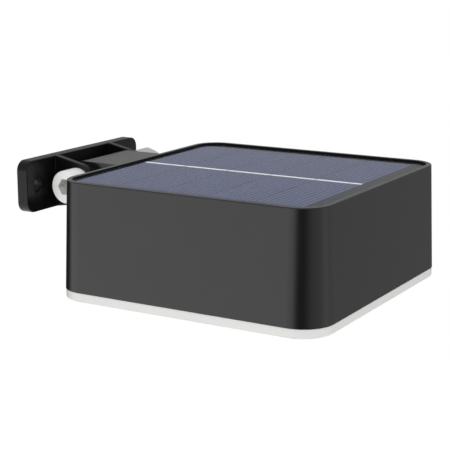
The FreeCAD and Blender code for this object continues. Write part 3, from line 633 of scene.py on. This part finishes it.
# %% Tree: a section swept along a helix
steps_per_turn = 32
section_sides = 8
helix_tree = new_tree("sweep_along_helix", {
    "Turns": "NodeSocketFloat", "Radius": "NodeSocketFloat", "Height": "NodeSocketFloat",
    "Wire Radius": "NodeSocketFloat", "Start": "NodeSocketVector", "Lean": "NodeSocketVector",
    "Finish": "NodeSocketMaterial"})
sizes = add_node(helix_tree, "NodeGroupInput").outputs
helix = add_node(helix_tree, "GeometryNodeCurveSpiral", {
    "Resolution": steps_per_turn, "Rotations": sizes["Turns"], "Start Radius": sizes["Radius"],
    "End Radius": sizes["Radius"], "Height": sizes["Height"]}).outputs[0]
section = add_node(helix_tree, "GeometryNodeCurvePrimitiveCircle", {
    "Resolution": section_sides, "Radius": sizes["Wire Radius"]}).outputs[0]
wire = add_node(helix_tree, "GeometryNodeCurveToMesh", {
    "Curve": helix, "Profile Curve": section, "Fill Caps": True}).outputs[0]
wire = add_node(helix_tree, "GeometryNodeTransform", {
    "Geometry": wire, "Translation": sizes["Start"], "Rotation": sizes["Lean"]}).outputs[0]
end_tree(helix_tree, wire, sizes["Finish"])
print("helix tree nodes:", len(helix_tree.nodes))

# %% [markdown]
# ## Fingers on the cells
# Fine silver lines printed across each strip gather its current and lead it to the ribbon. Real ones
# are about 0.05 mm wide and 1.5 mm apart, which is too fine to show, so they are drawn wider and a
# little further apart. Nine of them to a strip leave the gaps between the strips clear.

# %% Cell fingers
fingers_per_strip = 9
finger_width = 0.00012
finger_height = 0.00001
strip_count = 5
cells_low, cells_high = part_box("solar_cells")
cells_size = cells_high - cells_low
strip_gap = 0.0005
finger_pitch = (cells_size.y + strip_gap) / (strip_count * fingers_per_strip)
printed_silver = new_finish("screen_printed_silver_paste", "#a8aebd", 0.5,
                            sockets={"Specular IOR Level": 0.0})
add_grain(printed_silver, size_mm=0.3, depth_mm=0.003)
bar = bmesh.new()
bmesh.ops.create_cube(bar, size=1.0)
bmesh.ops.scale(bar, vec=(cells_size.x, finger_width, finger_height), verts=bar.verts)
fingers_middle = (cells_low + cells_high) / 2
fingers_middle.z = cells_high.z + finger_height / 2
finger_rows = strip_count * fingers_per_strip
fingers = set_out("cell_fingers", bar, 1, finger_rows, 0.0, finger_pitch * (finger_rows - 1),
                  fingers_middle, printed_silver, "lamp")

# %% [markdown]
# ## Black bead round the panel
# The panel is bonded into its recess. A black bead lies in the corner between the resin and the
# recess wall and climbs the wall a little: painted shade for that corner. It is a four-cornered bead
# swept round the panel's outline, a square with round corners. The square's side and height come from the resin's
# own box, and the bead's foot reaches below its top.

# %% Panel shade bead
# This black serves the real adhesive under the panel and the bead that is painted shade in the recess corner.
sealant_and_shade_black = new_finish("black_sealant_and_painted_shade", "#060606", 0.7, sockets={"Specular IOR Level": 0.2})
add_grain(sealant_and_shade_black, size_mm=2.5, depth_mm=0.02)
cover_low, cover_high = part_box("panel_cover")
shade_bead_width = 0.0003
shade_bead_rise = 0.0006
shade_bead_foot = -0.0002
shade_bead_lip = 0.00002
wall_gap = 0.0001
shade_bead_mesh = bmesh.new()
middle = (cover_low + cover_high) / 2
half = (cover_high.x - cover_low.x) / 2 + wall_gap
corner_radius = 0.00845
corner_steps = 8
rings = []
for inset, rise in ((0.0, shade_bead_rise), (0.0, shade_bead_foot), (shade_bead_width, shade_bead_foot), (shade_bead_width, shade_bead_lip)):
    ring = []
    for quarter in range(4):
        for step in range(corner_steps + 1):
            angle = math.pi / 2 * (quarter + step / corner_steps)
            corner = math.pi / 2 * quarter + math.pi / 4
            straight = (half - corner_radius) * math.sqrt(2)
            x = middle.x + straight * math.cos(corner) + (corner_radius - inset) * math.cos(angle)
            y = middle.y + straight * math.sin(corner) + (corner_radius - inset) * math.sin(angle)
            ring.append(shade_bead_mesh.verts.new((x, y, cover_high.z + rise)))
    rings.append(ring)
for ring, inner in zip(rings, rings[1:] + rings[:1]):
    for index in range(len(ring)):
        follow = (index + 1) % len(ring)
        shade_bead_mesh.faces.new((ring[index], ring[follow], inner[follow], inner[index]))
bmesh.ops.recalc_face_normals(shade_bead_mesh, faces=shade_bead_mesh.faces)
# The bead is painted shade: a black strip along the corner of the recess wall.
shade_bead = add_piece("panel_seal", shade_bead_mesh, sealant_and_shade_black, "lamp")
print("seal width:", shade_bead_width * 1000, "mm")

# %% [markdown]
# ## Diffuser
# The plate that closes the lamp is moulded opal acrylic: white pigment scatters the light inside it,
# so it looks milky and a little warm, and its glossy skin mirrors the room.

# %% Diffuser
opal_acrylic = new_finish("moulded_opal_acrylic", "#e7e6e4", 0.25, sockets={
    "Subsurface Weight": 0.25, "Subsurface Scale": 0.002, "Subsurface Radius": (1.0, 0.95, 0.9),
    "IOR": 1.49})
add_clouded_colour(opal_acrylic, "#e9e8e6", "#e5e4e2", size_mm=20)
rounded_copy("diffuser", 0.2, opal_acrylic)

countersunk_steel = new_finish("cold_headed_stainless_steel", "#c8c7c4", 0.3, metallic=1.0)
add_grain(countersunk_steel, size_mm=0.5, depth_mm=0.003)
dress("diffuser_screws", countersunk_steel)

# %% [markdown]
# ## Push button and its collar
# The button under the lamp is soft grey rubber, slightly dusty to the eye, in a black moulded collar.
# The collar's flange squeezes a flat rubber ring, and a moulded nut holds it from inside.

# %% Push button and collar
button_rubber = new_finish("moulded_silicone_rubber", "#5a5b5d", 0.62)
add_clouded_colour(button_rubber, "#57585a", "#606163", size_mm=3)
add_grain(button_rubber, size_mm=0.4, depth_mm=0.006)
rounded_copy("push_button", 0.25, button_rubber)

black_nylon = new_finish("moulded_black_nylon", "#191919", 0.42)
add_clouded_gloss(black_nylon, 0.36, 0.5, size_mm=4)
add_grain(black_nylon, size_mm=0.5, depth_mm=0.008)
rounded_copy("button_collar", 0.2, black_nylon)
dress("collar_nut", black_nylon)
rounded_copy("friction_washers", 0.15, black_nylon)

black_rubber = new_finish("pressed_black_rubber", "#1a1a1b", 0.7)
add_grain(black_rubber, size_mm=0.8, depth_mm=0.02)
for node in ("collar_seal", "diffuser_gasket", "lead_grommet"):
    dress(node, black_rubber)
dress("panel_adhesive", sealant_and_shade_black)

# %% [markdown]
# ## Small turned and bent metal
# The spring is bright drawn wire, which the button presses against the switch. The inner screws are
# zinc plated with a bluish passivation, and the battery contacts are nickel plated strip. The bush in
# the tail is turned natural acetal, a waxy off-white.

# %% Small metal and the bush
spring_wire = new_finish("drawn_spring_wire", "#b8b8b6", 0.28, metallic=1.0)
add_grain(spring_wire, size_mm=0.25, depth_mm=0.003)
spring_turns = 4.0
spring_wire_radius = 0.0002
spring_low, spring_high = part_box("button_spring")
spring_length = spring_high.z - spring_low.z
spring_start = (spring_low + spring_high) / 2
spring_start.z = spring_low.z + spring_wire_radius
coil_spring = grow("coil_spring", helix_tree, {
    "Turns": spring_turns, "Radius": (spring_high.x - spring_low.x) / 2 - spring_wire_radius,
    "Height": spring_length - 2 * spring_wire_radius, "Wire Radius": spring_wire_radius,
    "Start": spring_start, "Lean": (0, 0, 0), "Finish": spring_wire}, "lamp")
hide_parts("button_spring")
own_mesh(coil_spring)

zinc_plate = new_finish("blue_passivated_zinc_plate", "#c3c7cc", 0.34, metallic=1.0)
add_clouded_colour(zinc_plate, "#c6cacd", "#b9bfca", size_mm=1.5)
for node in ("cradle_screws", "board_screws", "tray_screws"):
    dress(node, zinc_plate)

nickel_plate = new_finish("nickel_plated_steel_strip", "#d0ccc2", 0.25, metallic=1.0)
add_grain(nickel_plate, size_mm=0.8, depth_mm=0.003, stretch=(1, 0.1, 1))
dress("battery_contacts", nickel_plate)

acetal = new_finish("turned_natural_acetal", "#e6e3d8", 0.38, sockets={
    "Subsurface Weight": 0.1, "Subsurface Scale": 0.001, "Subsurface Radius": (1.0, 0.9, 0.8)})
add_turning_rings(acetal, tilt_axis, "X", pitch_mm=0.4, depth_mm=0.003)
dress("tilt_bushing", acetal)

# %% [markdown]
# ## Battery bay
# The round cell wears a thin shrink sleeve that leaves its ends bare, so one finish changes from plain
# blue film to bright steel near both ends. The cradle is black moulded plastic with a fine spark
# texture, and the leads are red on one side and black on the other.

# %% Battery bay
def side_share(material, axis, border, blur):
    """0 below a border along an axis and 1 above it, both in metres."""
    tree = material.node_tree
    place = add_node(tree, "ShaderNodeTexCoord").outputs["Object"]
    value = add_node(tree, "ShaderNodeSeparateXYZ", {0: place}).outputs[axis]
    return add_node(tree, "ShaderNodeMapRange", {"Value": value, "From Min": border - blur,
                                                 "From Max": border + blur}).outputs[0]


sleeve_end = 0.0015
sleeve_blur = 0.0001
cell_low, cell_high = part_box("battery_cell")
sleeved_cell = new_finish("shrink_sleeve_on_steel_can", "#2f62a8", 0.3)
bare = add_node(sleeved_cell.node_tree, "ShaderNodeMath", {
    0: side_share(sleeved_cell, "X", cell_high.x - 2 * sleeve_end, sleeve_blur),
    1: side_share(sleeved_cell, "X", cell_low.x + sleeve_end, sleeve_blur)}, operation="SUBTRACT").outputs[0]
bare = add_node(sleeved_cell.node_tree, "ShaderNodeMath", {0: bare, 1: 1.0}, operation="ADD").outputs[0]
connect(sleeved_cell, "Metallic", bare)
connect(sleeved_cell, "Base Color", mix_colours(sleeved_cell, bare, "#2f62a8", "#cfcfcb"))
add_grain(sleeved_cell, size_mm=3, depth_mm=0.01)
dress("battery_cell", sleeved_cell)

spark_texture_plastic = new_finish("spark_textured_black_plastic", "#1c1c1d", 0.5)
add_grain(spark_texture_plastic, size_mm=0.35, depth_mm=0.015)
dress("battery_cradle", spark_texture_plastic)
dress("switch_body", spark_texture_plastic)

lead_sleeve = new_finish("extruded_wire_insulation", "#a81f1c", 0.4)
red_side = side_share(lead_sleeve, "X", border=0, blur=0.0001)
connect(lead_sleeve, "Base Color", mix_colours(lead_sleeve, red_side, "#1a1a1a", "#b0241f"))
add_grain(lead_sleeve, size_mm=0.6, depth_mm=0.004)
for node in ("panel_leads", "battery_leads", "led_leads"):
    dress(node, lead_sleeve)
print("cell length:", round(1000 * (cell_high.x - cell_low.x), 1), "mm")

# %% [markdown]
# ## Boards
# The control board is glass laminate under green solder mask, and the copper tracks show as lighter
# green lines below it. The tracks run square to each other, so a Voronoi texture with Manhattan
# distance draws them. The light board has the same pattern under a white mask, much fainter.

# %% Boards
def add_tracks(material, field, track, size_mm, width):
    """Square-cornered lines of a second colour, as copper tracks under solder mask."""
    tree = material.node_tree
    place = add_node(tree, "ShaderNodeTexCoord").outputs["Object"]
    cells = {"Vector": place, "Scale": 1000 / size_mm, "Randomness": 0.7}
    nearest = add_node(tree, "ShaderNodeTexVoronoi", cells, distance="MANHATTAN", voronoi_dimensions="2D")
    second = add_node(tree, "ShaderNodeTexVoronoi", cells, distance="MANHATTAN", voronoi_dimensions="2D",
                      feature="F2")
    gap = add_node(tree, "ShaderNodeMath", {0: second.outputs["Distance"], 1: nearest.outputs["Distance"]},
                   operation="SUBTRACT").outputs[0]
    line = add_node(tree, "ShaderNodeMath", {0: gap, 1: width}, operation="LESS_THAN").outputs[0]
    connect(material, "Base Color", mix_colours(material, line, field, track))
    raise_surface(material, line, depth_mm=0.03)


green_board = new_finish("green_solder_mask_on_glass_laminate", "#12552f", 0.32)
add_tracks(green_board, "#12552f", "#1f7a45", size_mm=4, width=0.12)
dress("control_board", green_board)

white_board = new_finish("white_solder_mask_on_aluminium_board", "#eeeeea", 0.35)
add_tracks(white_board, "#eeeeea", "#e2e2dd", size_mm=7, width=0.1)
dress("led_board", white_board)

white_tray = new_finish("moulded_white_polycarbonate", "#efefed", 0.28)
add_clouded_colour(white_tray, "#f1f1ef", "#ebebe8", size_mm=12)
add_grain(white_tray, size_mm=1.0, depth_mm=0.004)
dress("light_tray", white_tray)
print("board finishes:", green_board.name, "and", white_board.name)

# %% [markdown]
# ## Parts on the control board
# The chips are moulded black epoxy, the round capacitor is an aluminium can in a dark sleeve, and the
# choke is enamelled copper wire on a ferrite core. The wire is a helix between the core's flanges.

# %% Parts on the control board
moulded_epoxy = new_finish("moulded_black_epoxy", "#1d1d1e", 0.55)
add_grain(moulded_epoxy, size_mm=0.2, depth_mm=0.01)
dress("charge_chips", moulded_epoxy)

capacitor_sleeve = new_finish("sleeved_aluminium_can", "#23262e", 0.35)
capacitor_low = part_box("storage_capacitor")[0]
bare_height = 0.0003
bare_end = side_share(capacitor_sleeve, "Z", border=capacitor_low.z + bare_height, blur=0.00005)
connect(capacitor_sleeve, "Base Color", mix_colours(capacitor_sleeve, bare_end, "#cfcfce", "#23262e"))
add_grain(capacitor_sleeve, size_mm=1.5, depth_mm=0.004)
dress("storage_capacitor", capacitor_sleeve)

ferrite = new_finish("sintered_ferrite", "#2a2928", 0.6)
add_grain(ferrite, size_mm=0.3, depth_mm=0.02)
dress("choke_coil", ferrite)

enamelled_copper = new_finish("enamelled_copper_wire", "#b5642f", 0.25, metallic=0.9)
add_clouded_colour(enamelled_copper, "#b9682f", "#9c4f22", size_mm=2)
coil_low, coil_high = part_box("choke_coil")
winding_turns = 3
wire_radius = 0.00036
waist_radius = 0.003
flange = 0.001
winding_start = (coil_low + coil_high) / 2
winding_start.z = coil_low.z + flange + wire_radius
winding = grow("choke_winding", helix_tree, {
    "Turns": winding_turns, "Radius": waist_radius + wire_radius,
    "Height": coil_high.z - coil_low.z - 2 * (flange + wire_radius), "Wire Radius": wire_radius,
    "Start": winding_start, "Lean": (0, 0, 0), "Finish": enamelled_copper}, "lamp")

# %% [markdown]
# ## Chip legs and light domes
# Each chip stands on two rows of tinned legs, and each white light package carries a low dome of
# yellow phosphor. Both repeat, so both are set out in grids. The four places in the middle of the
# light board stay free for the switch.

# %% Chip legs and light domes
legs_per_side = 4
leg_pitch = 0.00127
leg_size = (0.0004, 0.0014, 0.0002)
leg_drop = 0.0001
tinned_leg = new_finish("tinned_lead_frame", "#cfd0d0", 0.3, metallic=1.0)
add_grain(tinned_leg, size_mm=0.3, depth_mm=0.002)
chips_low, chips_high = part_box("charge_chips")
chip_middle = (chips_low + chips_high) / 2
chip_middle.z = chips_high.z - leg_drop
chip_spacing = 0.009
for index in (-1, 0, 1):
    leg = bmesh.new()
    bmesh.ops.create_cube(leg, size=1.0)
    bmesh.ops.scale(leg, vec=leg_size, verts=leg.verts)
    centre = chip_middle + Vector((index * chip_spacing, 0, 0))
    legs = set_out(f"chip_legs_{index + 2}", leg, legs_per_side, 2, leg_pitch * (legs_per_side - 1),
                   chips_high.y - chips_low.y, centre, tinned_leg, "lamp")

phosphor = new_finish("yellow_phosphor_in_silicone", "#e8c53c", 0.3)
add_grain(phosphor, size_mm=0.2, depth_mm=0.01)
light_package = new_finish("moulded_white_light_package", "#f0efe9", 0.35)
add_grain(light_package, size_mm=0.3, depth_mm=0.004)
dress("led_chips", light_package)
lights_low, lights_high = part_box("led_chips")
light_length = 0.0035
light_width = 0.0028
lights_per_row = 6
bare_middle = 0.008
dome_radius = 0.0011
dome_flatness = 0.25
lights_middle = (lights_low + lights_high) / 2
lights_middle.z = lights_low.z
dome = bmesh.new()
bmesh.ops.create_uvsphere(dome, u_segments=16, v_segments=8, radius=dome_radius)
bmesh.ops.scale(dome, vec=(1, 1, dome_flatness), verts=dome.verts)
for face in dome.faces:
    face.smooth = True
domes = set_out("light_domes", dome, lights_per_row, lights_per_row,
                lights_high.x - lights_low.x - light_length, lights_high.y - lights_low.y - light_width,
                lights_middle, phosphor, "lamp", left_out=bare_middle)

# %% [markdown]
# ## Thread in the nut
# The bolt ends a little inside the tall nut, so the first turn of the nut's thread shows. It is a
# ridge along a helix with the standard pitch for this size, 1.25 mm.

# %% Nut thread
nut_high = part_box("tilt_nut")[1]
thread_pitch = 0.00125
thread_turns = 1.0
ridge_radius = 0.00032
bore_radius = 0.00402
thread_start = Vector((nut_high.x - thread_turns * thread_pitch - ridge_radius, tilt_axis.y, tilt_axis.z))
thread = grow("nut_thread", helix_tree, {
    "Turns": thread_turns, "Radius": bore_radius, "Height": thread_turns * thread_pitch,
    "Wire Radius": ridge_radius, "Start": thread_start, "Lean": (0, math.pi / 2, 0),
    "Finish": drawn_steel}, "bracket")

# %% Sizes and finish
sizes = {"cad_box": cad_box, "visual_box": [list(corner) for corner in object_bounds()]}
differences = [round(1000 * (dressed - packed), 2)
               for corners in zip(*sizes.values()) for packed, dressed in zip(*corners)]
print("size differences in mm:", differences)
